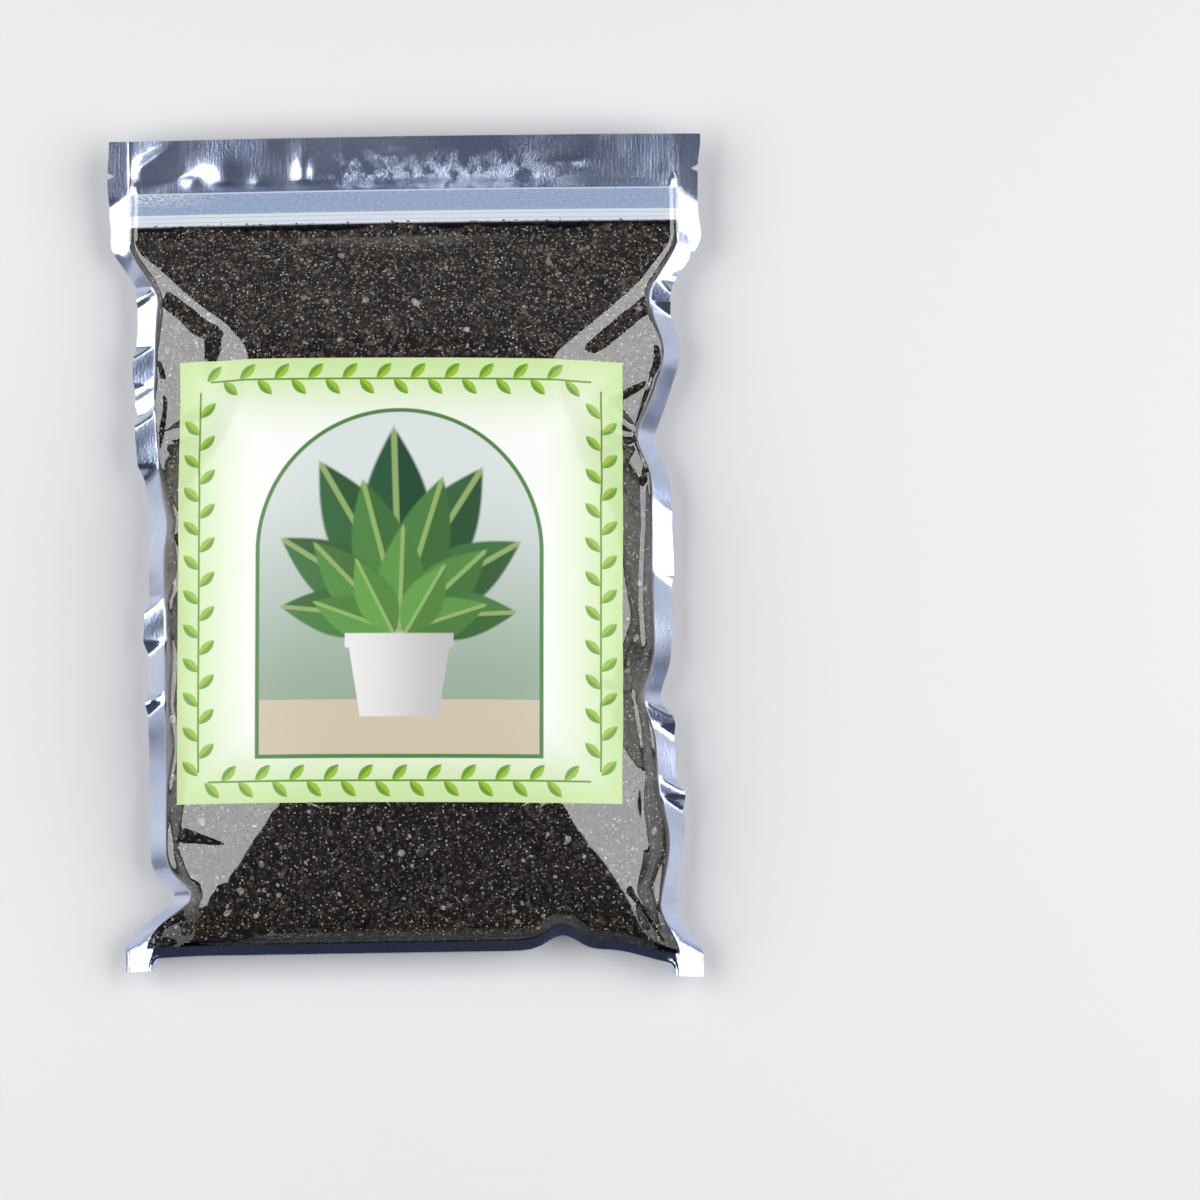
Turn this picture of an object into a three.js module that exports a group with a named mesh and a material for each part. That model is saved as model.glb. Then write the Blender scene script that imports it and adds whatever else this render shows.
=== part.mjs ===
// A clear-fronted pouch of potting mix, sealed on all sides and lying on its back.
// Millimetres. +X runs across the label, +Y from the foot seal to the top edge, +Z up through the label.
// Every piece is laid out on one grid of film lines, so that neighbours keep a set distance.
import * as THREE from 'three';

// Flat pouch, before it is filled
const BAG_WIDTH = 203;
const BAG_LENGTH = 305;
const SIDE_SEAL = 7.5;
const FOOT_SEAL = 7.5;
const HEADER = 18.5;
const FILM = 0.15;
const SEAL_GAP = 0.3;
const NOTCH_DEPTH = 2.5;
const NOTCH_WIDTH = 2.4;
const NOTCH_ABOVE_ZIP = 6.5;

// Filled pouch, as it lies
const THICKNESS = 42;
const SEAM_HEIGHT = 15;
const SEAM_WAVE = 1.5;
const SEAM_WAVELENGTH = 47;
const WAVE_POWER = 5;
const SIDE_POWER = 2.2;
const SIDE_WALL = 0.34;
const FOOT_POWER = 3.4;
const FOOT_WALL = 0.5;
const TOP_POWER = 3.2;
const TOP_WALL = 1;
const REST_SHARE = 0.8;

// Shoulders, where the filled body widens to the flat header, and the arch of the header
const SHOULDER = 23;
const ARCH_LENGTH = 60;
const HEADER_ARCH = 5;
const HEADER_DROP = 2;

// Side fins: the sealed margins droop, wave along the body and level out at both ends
const FIN_DROOP_LEFT = 40;
const FIN_DROOP_RIGHT = 50;
const FIN_WAVE = 6;
const HEADER_FIN_DROOP = 4;
const EAR_DROOP = 12;
const EAR_LENGTH = 24;

// Foot: the seal folds under between two flat ears at the corners
const FOOT_FLARE = 7;
const FLARE_LENGTH = 15;
const FOOT_FOLD = 58;
const EAR_WIDTH = 27;
const EAR_SAG_LEFT = 0.8;
const EAR_SAG_RIGHT = 5.2;
const FOOT_TUCK = 5;
const FOOT_TUCK_FROM_SEAM = 31;
const FOOT_TUCK_REACH = 7;

// Gathers pull a side seam in, or let it out where the depth is negative.
// Each lies at a share of the cavity's length, and reaches that far along the seam.
const GATHERS = [
  { side: -1, share: 0.07, depth: 8, reach: 6.5 },
  { side: -1, share: 0.59, depth: 1.6, reach: 8 },
  { side: -1, share: 0.79, depth: -2.8, reach: 35 },
  { side: 1, share: 0.145, depth: -4, reach: 15 },
  { side: 1, share: 0.345, depth: 3.6, reach: 9 },
  { side: 1, share: 0.715, depth: 4.6, reach: 9 },
  { side: 1, share: 0.835, depth: -4.7, reach: 12 },
];

// Stretches where a fin stands out nearly level, each at a share of the cavity's length
const FIN_LEVEL_SHARE = 0.85;
const LEVEL_FINS = [
  { side: -1, share: 0.82, reach: 9.6 },
  { side: -1, share: 0.945, reach: 9.6 },
  { side: 1, share: 0.775, reach: 14.4 },
  { side: 1, share: 0.92, reach: 7.2 },
];

// Folds of the taut front, with a flat facet on either side. Ends are given as the distance in from
// the side seam and away from the zip or the foot seam. Each slope is the angle of one facet, down
// to the right of the line from end to end, or to its left where that is negative.
const FOLDS = [
  { side: -1, end: 'foot', from: [38.5, 48], to: [12.5, 9.5], slopes: [9, -3] },
  { side: 1, end: 'foot', from: [34.5, 47.5], to: [8.5, 15], slopes: [-10, 3] },
  { side: 1, end: 'zip', from: [13.5, 85], to: [16, 184], slopes: [-29, -15] },
  { side: -1, end: 'zip', from: [1, 5], to: [29, 36], slopes: [15, -13] },
  { side: -1, end: 'zip', from: [29, 36], to: [33, 50], slopes: [20, 8] },
  { side: 1, end: 'zip', from: [0, 4], to: [35, 41], slopes: [-18, 13] },
];
const FACET_EDGE = 0.25;
const FACET_RELEASE = 0.015;
const FOLD_GROWTH = 3;

// Pleats beside the upper folds: their ends as above, and their widths to the left and right of the line
const PLEATS = [
  { side: -1, end: 'zip', from: [-2.5, 22.5], to: [31.5, 52], rise: 2.4, widths: [6.5, 15] },
  { side: 1, end: 'zip', from: [-3, 24], to: [28.5, 51], rise: 2.4, widths: [15, 6] },
];
const PLEAT_FADE = 0.6;
const PLEAT_RUN_OUT = 4;

// Zip: two tapes, the front one with two hooked lips, the back one with a headed rib between them
const ZIP_TAPE = 16;
const ZIP_LOCK = 6.5;
const TAPE_WALL = 0.4;
const RIB_STEM = 0.7;
const RIB_HEAD = 1.9;
const HEAD_WALL = 0.4;
const LIP_WALL = 0.6;
const HOOK_WALL = 0.3;
const LOCK_CLEARANCE = 0.3;
const ZIP_SEAT = 0.3;

// Label: margins to the seams, and the angle at which the pouch lies turned against its straight label
const LABEL_MARGIN_LEFT = 6;
const LABEL_MARGIN_RIGHT = 11;
const LABEL_MARGIN_FOOT = 46;
const LABEL_MARGIN_TOP = 45;
const LABEL_PAPER = 0.2;
const LABEL_SEAT = 0.3;
const LABEL_SKEW = 0.9;

// Fill
const FILL_CLEARANCE = 0.3;

// Lines of the film grid, as shares of the stretch that they divide, and the length over which
// they bend from the label's straight edges towards the seams
const COLUMN_BEND = 23;
const MARGIN_SHARES = [0.08, 0.3, 0.62];
const LABEL_COLUMN_SHARES = [0, 0.06, 0.15, 0.28, 0.43, 0.58, 0.73, 0.86, 0.95, 1];
const FOOT_ROW_SHARES = [0, 0.06, 0.2, 0.33, 0.46, 0.61, 0.8];
const LABEL_ROWS = 22;
const TOP_ROW_SHARES = [0.16, 0.32, 0.48, 0.64, 0.8, 0.93];

// Filling takes up half the thickness in each direction
const TAKE_UP = THICKNESS / 2;
const CAVITY_HALF = (BAG_WIDTH - TAKE_UP) / 2 - SIDE_SEAL;
const CAVITY_LENGTH = BAG_LENGTH - FOOT_SEAL - ZIP_TAPE - HEADER - TAKE_UP;
const HEADER_HALF = BAG_WIDTH / 2 - SIDE_SEAL;
const BULGE = THICKNESS - SEAM_HEIGHT;
const LOCK_HALF = (3 * LOCK_CLEARANCE + HOOK_WALL + HEAD_WALL) / 2;
const ZIP_HALF = LOCK_HALF + TAPE_WALL;
const LABEL_LEFT = LABEL_MARGIN_LEFT - CAVITY_HALF;
const LABEL_RIGHT = CAVITY_HALF - LABEL_MARGIN_RIGHT;
const LABEL_FOOT = LABEL_MARGIN_FOOT;
const LABEL_TOP = CAVITY_LENGTH - LABEL_MARGIN_TOP;
const SKEW_SLOPE = Math.tan(THREE.MathUtils.degToRad(LABEL_SKEW));

const { lerp, smoothstep, degToRad, clamp } = THREE.MathUtils;
const bell = (distance, reach) => Math.exp(-((distance / reach) ** 2));

// Middle line of the pouch at length y, turned against the label
function middleLine(y) {
  return -SKEW_SLOPE * (y - (LABEL_FOOT + LABEL_TOP) / 2);
}

// Inner edge of a side seal at length y: side is -1 for the left, 1 for the right
function sideSeam(side, y) {
  const shoulder = smoothstep(y, CAVITY_LENGTH - SHOULDER, CAVITY_LENGTH);
  const flare = 1 - smoothstep(y, 0, FLARE_LENGTH);
  let half = lerp(CAVITY_HALF, HEADER_HALF, shoulder) + FOOT_FLARE * flare;
  for (const gather of GATHERS) {
    if (gather.side === side) half -= gather.depth * bell(y - gather.share * CAVITY_LENGTH, gather.reach);
  }
  return middleLine(y) + side * half;
}

// How far x lies into the flat ears at the foot's corners, from 0 to 1
function earShare(x) {
  return smoothstep(Math.abs(x), HEADER_HALF - EAR_WIDTH, HEADER_HALF);
}

// Inner edge of the foot seal at x across the pouch
function footSeam(x) {
  const sag = (x < 0 ? EAR_SAG_LEFT : EAR_SAG_RIGHT) * earShare(x);
  const tuck = FOOT_TUCK * bell(x - (CAVITY_HALF - FOOT_TUCK_FROM_SEAM), FOOT_TUCK_REACH);
  return SKEW_SLOPE * x + tuck - sag;
}

// Lower edge of the zip tape at x across the pouch
function zipLine(x) {
  return CAVITY_LENGTH + SKEW_SLOPE * x;
}

// Position across the cavity at length y, -1 and 1 at the side seams
function acrossShare(x, y) {
  const middle = middleLine(y);
  const side = x < middle ? -1 : 1;
  return side * (x - middle) / (sideSeam(side, y) - middle);
}

// Position along the cavity at x, -1 at the foot seam, 1 at the zip and above it
function alongShare(x, y) {
  const middle = CAVITY_LENGTH / 2;
  const end = y < middle ? middle - footSeam(x) : zipLine(x) - middle;
  return clamp((y - middle) / end, -1, 1);
}

// Fullness of the pouch, 1 in the middle and 0 at the seams, with steep walls at the sides and the foot
function fullness(across, along) {
  const wall = (share, power, steep) => Math.max(0, 1 - Math.abs(share) ** power) ** steep;
  const end = along < 0 ? wall(along, FOOT_POWER, FOOT_WALL) : wall(along, TOP_POWER, TOP_WALL);
  return wall(across, SIDE_POWER, SIDE_WALL) * end;
}

// Height of the sheet in which both webs meet: wavy along the sides, arched from the zip upwards
function seamHeight(across, y) {
  const top = smoothstep(y, CAVITY_LENGTH - ARCH_LENGTH, CAVITY_LENGTH);
  const wave = SEAM_WAVE * across ** WAVE_POWER * Math.sin(2 * Math.PI * y / SEAM_WAVELENGTH) * (1 - top);
  return SEAM_HEIGHT + wave + top * (HEADER_ARCH * (1 - across ** 2) - HEADER_DROP);
}

// Droop of a side fin below the level, in radians, at length y
function finDroop(side, y) {
  const top = smoothstep(y, CAVITY_LENGTH - SHOULDER, CAVITY_LENGTH);
  const foot = 1 - smoothstep(y, 0, EAR_LENGTH);
  const wave = FIN_WAVE * Math.cos(2 * Math.PI * y / SEAM_WAVELENGTH + side);
  let body = (side < 0 ? FIN_DROOP_LEFT : FIN_DROOP_RIGHT) + wave;
  for (const level of LEVEL_FINS) {
    if (level.side === side) body *= 1 - FIN_LEVEL_SHARE * bell(y - level.share * CAVITY_LENGTH, level.reach);
  }
  return degToRad(lerp(lerp(body, HEADER_FIN_DROOP, top), EAR_DROOP, foot));
}

// Height of the front at a point, before it is folded
function swell(x, y) {
  const across = acrossShare(x, y);
  return seamHeight(across, y) + BULGE * fullness(across, alongShare(x, y));
}

// Where a point lies on the line of a fold or pleat: how far along it, and how far to its right
function placeOnLine(line, x, y) {
  const corner = ([inward, away]) => {
    const level = line.end === 'zip' ? CAVITY_LENGTH - away : away;
    return new THREE.Vector2(sideSeam(line.side, level) - line.side * inward, level);
  };
  const start = corner(line.from);
  const stop = corner(line.to);
  const run = stop.clone().sub(start);
  const length = run.length();
  const point = new THREE.Vector2(x, y).sub(start);
  return { start, stop, length, along: point.dot(run) / length, beside: point.cross(run) / length };
}

// How far the facets' planes cut below the front: the lowest plane counts, with rounded edges between them
function facetCut(x, y) {
  const height = swell(x, y);
  let total = 1;
  for (const fold of FOLDS) {
    const { start, stop, length, along, beside } = placeOnLine(fold, x, y);
    const beyond = along - clamp(along, 0, length);
    const ridge = lerp(swell(start.x, start.y), swell(stop.x, stop.y), along / length);
    for (const slope of fold.slopes) {
      const plane = ridge - beside * Math.tan(degToRad(slope)) + FACET_RELEASE * beyond ** 2;
      total += Math.exp(clamp(height - plane, -THICKNESS, THICKNESS) / FACET_EDGE);
    }
  }
  return FACET_EDGE * Math.log(total);
}

// Height of the pleats: sharp crests whose sides slope down evenly
function pleatHeight(x, y) {
  let height = 0;
  for (const pleat of PLEATS) {
    const { length, along, beside } = placeOnLine(pleat, x, y);
    const width = pleat.widths[beside < 0 ? 0 : 1];
    const start = smoothstep(along, -PLEAT_RUN_OUT, PLEAT_RUN_OUT / 2);
    const fade = start * (1 - smoothstep(along, PLEAT_FADE * length, length + PLEAT_RUN_OUT));
    height += pleat.rise * fade * Math.max(0, 1 - Math.abs(beside) / width);
  }
  return height;
}

// Columns of the film grid from seam to seam, each a function from length y to x.
// They are straight along the label, and keep their share of the width above and below it.
function labelColumn(share) {
  const straight = lerp(LABEL_LEFT, LABEL_RIGHT, share);
  const side = Math.sign(straight) || 1;
  const spread = y => lerp(middleLine(y), sideSeam(side, y), Math.abs(straight) / CAVITY_HALF);
  return y => {
    const away = Math.abs(y - clamp(y, LABEL_FOOT, LABEL_TOP));
    return lerp(straight, spread(y), smoothstep(away, 0, COLUMN_BEND));
  };
}

function marginColumn(side, share) {
  const labelEdge = labelColumn(side < 0 ? 0 : 1);
  return y => lerp(sideSeam(side, y), labelEdge(y), share);
}

const columns = [
  y => sideSeam(-1, y),
  ...MARGIN_SHARES.map(share => marginColumn(-1, share)),
  ...LABEL_COLUMN_SHARES.map(labelColumn),
  ...MARGIN_SHARES.toReversed().map(share => marginColumn(1, share)),
  y => sideSeam(1, y),
];

// Rows of the film grid from the foot seam to the top edge, each a function from x to y.
const zipRow = offset => x => zipLine(x) + offset;
const headerRow = offset => zipRow(ZIP_TAPE + offset);
const labelRowShares = Array.from({ length: LABEL_ROWS + 1 }, (_, row) => row / LABEL_ROWS);
const rows = [
  ...FOOT_ROW_SHARES.map(share => x => lerp(footSeam(x), LABEL_FOOT, share)),
  ...labelRowShares.map(share => () => lerp(LABEL_FOOT, LABEL_TOP, share)),
  ...TOP_ROW_SHARES.map(share => x => lerp(LABEL_TOP, zipLine(x), share)),
  zipRow(0),
  zipRow(ZIP_LOCK),
  headerRow(0),
  headerRow((NOTCH_ABOVE_ZIP - NOTCH_WIDTH / 2) / 2),
  headerRow(NOTCH_ABOVE_ZIP - NOTCH_WIDTH / 2),
  headerRow(NOTCH_ABOVE_ZIP),
  headerRow(NOTCH_ABOVE_ZIP + NOTCH_WIDTH / 2),
  headerRow(HEADER),
];

// Row and column numbers of the grid, which starts with the foot seal and the left fin
const firstRow = 1;
const firstColumn = 1;
const lastColumn = columns.length;
const labelFirstColumn = firstColumn + 1 + MARGIN_SHARES.length;
const labelLastColumn = labelFirstColumn + LABEL_COLUMN_SHARES.length - 1;
const labelFirstRow = firstRow + FOOT_ROW_SHARES.length;
const labelLastRow = labelFirstRow + LABEL_ROWS;
const zipFirstRow = labelLastRow + TOP_ROW_SHARES.length + 1;
const zipLockRow = zipFirstRow + 1;
const zipLastRow = zipLockRow + 1;
const notchRow = zipLastRow + 3;
const ZIP_END_COLUMN = 2;

// One film line crossing: its place on the meeting sheet, how full the pouch is there, and how the front folds
function crossing(row, column) {
  const level = row(0);
  const x = column(level);
  const y = row(x);
  const across = acrossShare(x, level);
  const full = fullness(across, alongShare(x, y));
  return {
    point: new THREE.Vector3(x, y, seamHeight(across, level)),
    full,
    fold: (pleatHeight(x, y) - facetCut(x, y)) * Math.min(1, FOLD_GROWTH * full),
    level,
  };
}

// Adds the drooping side fins, with the tear notches cut out of them
function withFins(line, rowNumber) {
  const fin = (side, inner) => {
    const width = SIDE_SEAL - (rowNumber === notchRow ? NOTCH_DEPTH : 0);
    const droop = finDroop(side, inner.level);
    const point = inner.point.clone();
    point.x += side * width * Math.cos(droop);
    point.z -= width * Math.sin(droop);
    return { ...inner, point };
  };
  return [fin(-1, line[0]), ...line, fin(1, line.at(-1))];
}

// Adds the foot seal, folded under in the middle and flat at the ears
function withFootSeal(lines) {
  const seal = lines[0].map(inner => {
    const fold = degToRad(lerp(FOOT_FOLD, EAR_DROOP, earShare(inner.point.x)));
    const point = inner.point.clone();
    point.y -= FOOT_SEAL * Math.cos(fold);
    point.z -= FOOT_SEAL * Math.sin(fold);
    return { ...inner, point };
  });
  return [seal, ...lines];
}

const cavityLines = rows.map(row => columns.map(column => crossing(row, column)));
const grid = withFootSeal(cavityLines.map((line, number) => withFins(line, number + firstRow)));

// Upward normals of a grid of points, from the differences between neighbours
function gridNormals(points) {
  const lastLine = points.length - 1;
  const lastPoint = points[0].length - 1;
  const at = (row, column) => points[clamp(row, 0, lastLine)][clamp(column, 0, lastPoint)];
  return points.map((line, row) => line.map((_, column) => {
    const alongX = at(row, column + 1).clone().sub(at(row, column - 1));
    const alongY = at(row + 1, column).clone().sub(at(row - 1, column));
    return alongX.cross(alongY).normalize();
  }));
}

const offset = (points, normals, distance) =>
  points.map((line, row) => line.map((point, column) =>
    point.clone().addScaledVector(normals[row][column], distance)));

const block = (lines, fromRow, toRow, fromColumn, toColumn) =>
  lines.slice(fromRow, toRow + 1).map(line => line.slice(fromColumn, toColumn + 1));

// Distance from the meeting sheet to each web: half the seal's gap, and more where the zip lies between
function webDistance(row, column) {
  const fromSide = Math.min(column - firstColumn, lastColumn - column);
  const besideZip = clamp(fromSide / ZIP_END_COLUMN, 0, 1);
  const zipRows = row >= zipFirstRow - 1 && row <= zipLastRow ? 1 : 0;
  return lerp(SEAL_GAP / 2, ZIP_HALF + ZIP_SEAT, besideZip * zipRows);
}

const sheet = grid.map(line => line.map(cross => cross.point));
const sheetNormals = gridNormals(sheet);

// Inner faces of the two webs. The front stands up over the fill, the back lies flat under it.
const frontInner = grid.map((line, row) => line.map((cross, column) => {
  const point = cross.point.clone().addScaledVector(sheetNormals[row][column], webDistance(row, column));
  point.z += BULGE * cross.full + cross.fold;
  return point;
}));
const backInner = grid.map((line, row) => line.map((cross, column) => {
  const point = cross.point.clone().addScaledVector(sheetNormals[row][column], -webDistance(row, column));
  const slack = 1 - Math.min(1, cross.full / REST_SHARE);
  point.z = lerp(FILM, point.z, slack ** 2);
  return point;
}));
const frontNormals = gridNormals(frontInner);
const backNormals = gridNormals(backInner);
const frontOuter = offset(frontInner, frontNormals, FILM);
const backOuter = offset(backInner, backNormals, -FILM);

// Closed solid between two grids of points, with walls round the edge
function closedSheet(upper, lower) {
  const rowCount = upper.length;
  const columnCount = upper[0].length;
  const lowerStart = rowCount * columnCount;
  const number = (row, column) => row * columnCount + column;
  const triangles = [];
  for (let row = 0; row + 1 < rowCount; row += 1) {
    for (let column = 0; column + 1 < columnCount; column += 1) {
      const a = number(row, column);
      const b = number(row, column + 1);
      const c = number(row + 1, column + 1);
      const d = number(row + 1, column);
      triangles.push(a, b, c, a, c, d);
      triangles.push(...[a, c, b, a, d, c].map(corner => corner + lowerStart));
    }
  }
  const edge = [];
  for (let column = 0; column + 1 < columnCount; column += 1) edge.push(number(0, column));
  for (let row = 0; row + 1 < rowCount; row += 1) edge.push(number(row, columnCount - 1));
  for (let column = columnCount - 1; column > 0; column -= 1) edge.push(number(rowCount - 1, column));
  for (let row = rowCount - 1; row > 0; row -= 1) edge.push(number(row, 0));
  edge.forEach((here, index) => {
    const next = edge[(index + 1) % edge.length];
    triangles.push(here + lowerStart, next + lowerStart, next, here + lowerStart, next, here);
  });
  return geometryFrom([...upper.flat(), ...lower.flat()], triangles);
}

function geometryFrom(points, triangles) {
  const geometry = new THREE.BufferGeometry().setFromPoints(points);
  geometry.setIndex(triangles);
  geometry.computeVertexNormals();
  return geometry;
}

// Section carried along a line of points: x of the section runs up the pouch, y along the normal
function carriedSection(section, path, normals) {
  const count = section.length;
  const points = path.flatMap((place, station) => section.map(({ x, y }) => {
    const point = place.clone().addScaledVector(normals[station], y);
    point.y += x;
    return point;
  }));
  const triangles = [];
  for (let station = 0; station + 1 < path.length; station += 1) {
    for (let corner = 0; corner < count; corner += 1) {
      const here = station * count + corner;
      const next = station * count + (corner + 1) % count;
      triangles.push(here, next, next + count, here, next + count, here + count);
    }
  }
  const lastStart = (path.length - 1) * count;
  for (const [a, b, c] of THREE.ShapeUtils.triangulateShape(section, [])) {
    triangles.push(a, c, b, a + lastStart, b + lastStart, c + lastStart);
  }
  return geometryFrom(points, triangles);
}

// Sections of the two zip tracks, counter-clockwise, centred on the lock and on the meeting sheet
function frontTrackSection() {
  const face = LOCK_HALF;
  const hookTop = LOCK_CLEARANCE + HOOK_WALL - LOCK_HALF;
  const hookEnd = LOCK_CLEARANCE - LOCK_HALF;
  const lipInside = RIB_HEAD / 2 + LOCK_CLEARANCE;
  const lipOutside = lipInside + LIP_WALL;
  const hookTip = RIB_STEM / 2 + LOCK_CLEARANCE;
  const rightLip = [
    [hookTip, hookTop],
    [hookTip, hookEnd],
    [lipOutside, hookEnd],
    [lipOutside, face],
  ];
  const leftLip = rightLip.map(([x, y]) => [-x, y]).reverse();
  return [
    [-ZIP_LOCK, face],
    ...leftLip,
    [-lipInside, hookTop],
    [-lipInside, face],
    [lipInside, face],
    [lipInside, hookTop],
    ...rightLip,
    [ZIP_TAPE - ZIP_LOCK, face],
    [ZIP_TAPE - ZIP_LOCK, ZIP_HALF],
    [-ZIP_LOCK, ZIP_HALF],
  ].map(([x, y]) => new THREE.Vector2(x, y));
}

function backTrackSection() {
  const face = -LOCK_HALF;
  const headTop = LOCK_HALF - LOCK_CLEARANCE;
  const headFoot = headTop - HEAD_WALL;
  return [
    [-ZIP_LOCK, -ZIP_HALF],
    [ZIP_TAPE - ZIP_LOCK, -ZIP_HALF],
    [ZIP_TAPE - ZIP_LOCK, face],
    [RIB_STEM / 2, face],
    [RIB_STEM / 2, headFoot],
    [RIB_HEAD / 2, headFoot],
    [RIB_HEAD / 2, headTop],
    [-RIB_HEAD / 2, headTop],
    [-RIB_HEAD / 2, headFoot],
    [-RIB_STEM / 2, headFoot],
    [-RIB_STEM / 2, face],
    [-ZIP_LOCK, face],
  ].map(([x, y]) => new THREE.Vector2(x, y));
}

function zipTrack(section) {
  const bounds = [zipLockRow, zipLockRow, firstColumn + ZIP_END_COLUMN, lastColumn - ZIP_END_COLUMN];
  return carriedSection(section, block(sheet, ...bounds)[0], block(sheetNormals, ...bounds)[0]);
}

// The label lies on the front web, between its own grid lines
function labelSheet() {
  const bounds = [labelFirstRow, labelLastRow, labelFirstColumn, labelLastColumn];
  const normals = block(frontNormals, ...bounds);
  const under = offset(block(frontOuter, ...bounds), normals, LABEL_SEAT);
  return closedSheet(offset(under, normals, LABEL_PAPER), under);
}

// The fill reaches to just inside the seams and the zip
function soilMass() {
  const bounds = [firstRow + 1, zipFirstRow - 1, firstColumn + 1, lastColumn - 1];
  const top = offset(block(frontInner, ...bounds), block(frontNormals, ...bounds), -FILL_CLEARANCE);
  const bottom = offset(block(backInner, ...bounds), block(backNormals, ...bounds), FILL_CLEARANCE);
  return closedSheet(top, bottom);
}

function piece(name, geometry, finish) {
  const mesh = new THREE.Mesh(geometry, new THREE.MeshStandardMaterial(finish));
  mesh.name = name;
  return mesh;
}

const clearFilm = { color: 0xe9eef3, roughness: 0.08, metalness: 0, transparent: true, opacity: 0.25 };
const silverFoil = { color: 0xa7aebd, roughness: 0.22, metalness: 0.9 };
const zipPlastic = { color: 0xd3dfee, roughness: 0.3, metalness: 0 };
const pottingMix = { color: 0x2a211c, roughness: 0.95, metalness: 0 };
const printedPaper = { color: 0xeef4e2, roughness: 0.3, metalness: 0 };

const pouch = new THREE.Group();
pouch.add(
  piece('front_film', closedSheet(frontOuter, frontInner), clearFilm),
  piece('back_foil', closedSheet(backInner, backOuter), silverFoil),
  piece('zip_front_track', zipTrack(frontTrackSection()), zipPlastic),
  piece('zip_back_track', zipTrack(backTrackSection()), zipPlastic),
  piece('soil_fill', soilMass(), pottingMix),
  piece('label', labelSheet(), printedPaper),
);

// The origin is on the resting surface, under the middle of the pouch
const box = new THREE.Box3().setFromObject(pouch);
const middle = box.getCenter(new THREE.Vector3());
pouch.position.set(-middle.x, -middle.y, -box.min.z);

export default pouch;
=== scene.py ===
"""Looks of a clear-fronted pouch of potting mix that lies on its back.

Lengths are millimetres on the pouch's own lines until a mesh is made: x across the label, y from the foot
seam to the top edge, z up. Every sheet is a surface of two parameters, u across the pouch and v along it.
"""

import math

import bpy
import numpy as np
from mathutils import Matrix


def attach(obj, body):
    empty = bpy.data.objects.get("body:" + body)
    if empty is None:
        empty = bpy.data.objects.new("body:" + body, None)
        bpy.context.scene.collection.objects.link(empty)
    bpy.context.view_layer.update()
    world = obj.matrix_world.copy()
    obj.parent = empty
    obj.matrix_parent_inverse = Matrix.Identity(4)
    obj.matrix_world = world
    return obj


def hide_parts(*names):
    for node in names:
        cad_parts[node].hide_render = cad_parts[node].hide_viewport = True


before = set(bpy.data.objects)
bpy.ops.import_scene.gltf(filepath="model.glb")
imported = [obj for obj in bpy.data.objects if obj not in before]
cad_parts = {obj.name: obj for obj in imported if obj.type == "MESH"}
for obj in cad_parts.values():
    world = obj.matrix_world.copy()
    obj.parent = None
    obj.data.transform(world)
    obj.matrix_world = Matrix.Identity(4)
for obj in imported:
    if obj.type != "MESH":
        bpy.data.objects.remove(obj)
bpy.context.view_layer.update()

# One millimetre in the metres of the frame
MILLIMETRE = 0.001

# Flat pouch, as in the CAD
SIDE_SEAL = 7.5
FOOT_SEAL = 7.5
HEADER = 18.5
FILM = 0.15
SEAL_GAP = 0.3
NOTCH_DEPTH = 2.5
NOTCH_WIDTH = 2.4
NOTCH_ABOVE_ZIP = 6.5

# Filled pouch, as it lies
SEAM_HEIGHT = 15.0
SEAM_WAVE = 1.5
SEAM_WAVELENGTH = 47.0
BULGE = 27.0
SIDE_POWER = 2.2
FOOT_POWER = 3.4
TOP_POWER = 3.2
SIDE_WALL = 0.34
FOOT_WALL = 0.5
TOP_WALL = 1.0
REST_SHARE = 0.8
CAVITY_HALF = 83.5
CAVITY_LENGTH = 242.0
HEADER_HALF = 94.0
SHOULDER = 23.0
ARCH_LENGTH = 60.0
HEADER_ARCH = 3.0
HEADER_DROP = 1.0
FOOT_FLARE = 7.0
FLARE_LENGTH = 15.0
FOOT_FLAT = 3.6
FOOT_ROLL = (20.0, 105.0)
FOOT_TUCK = 5.0
FOOT_TUCK_X = 52.5
FOOT_TUCK_REACH = 7.0
# Gathers of the side seams, left (-1) and right (1): share of the cavity's length, depth and reach
GATHERS = {
    -1: [(0.07, 8.0, 6.5), (0.59, 1.6, 8.0), (0.79, -2.8, 35.0)],
    1: [(0.145, -4.0, 15.0), (0.345, 3.6, 9.0), (0.715, 4.6, 9.0), (0.835, -4.7, 12.0)],
}

# Ears: the foot's two corners, which droop and fold
EAR_WIDTH = 27.0
EAR_DROOP = 12.0
EAR_LENGTH = 12.0
EAR_TURN = 5.5
EAR_TILT = 3.0
EAR_FOLD = {-1: 86.5, 1: 91.0}
EAR_FALL = 18.0
EAR_SAG = {-1: 0.8, 1: 5.2}

# Fins: the side seals, with their angles below level in degrees
FIN_DROOP = 40.5
FIN_WAVE = 1.0
FIN_SLANT = 0.6
FIN_SWAY = 0.24
FIN_STEPS = 8
HEADER_FIN_DROOP = 1.0
FIN_AT_ZIP = {-1: 22.0, 1: 11.0}
FIN_ZIP_START = {-1: 234.0, 1: 219.0}
# Stretches of a fin that lie nearly level, and those that are tilted by half as much as the rest
FIN_LEVEL = {
    -1: [(82.5, 85.0), (103.0, 117.0), (163.0, 181.0), (192.0, 205.0), (221.5, 225.0)],
    1: [(50.0, 56.0), (75.0, 82.0), (219.0, 227.0)],
}
FIN_BRIGHT = {-1: [(184.0, 190.5), (205.0, 222.0)], 1: [(127.0, 151.0)]}
FIN_BRIGHT_DROOP = 23.0
STRETCH_EDGE = 0.8

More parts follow.
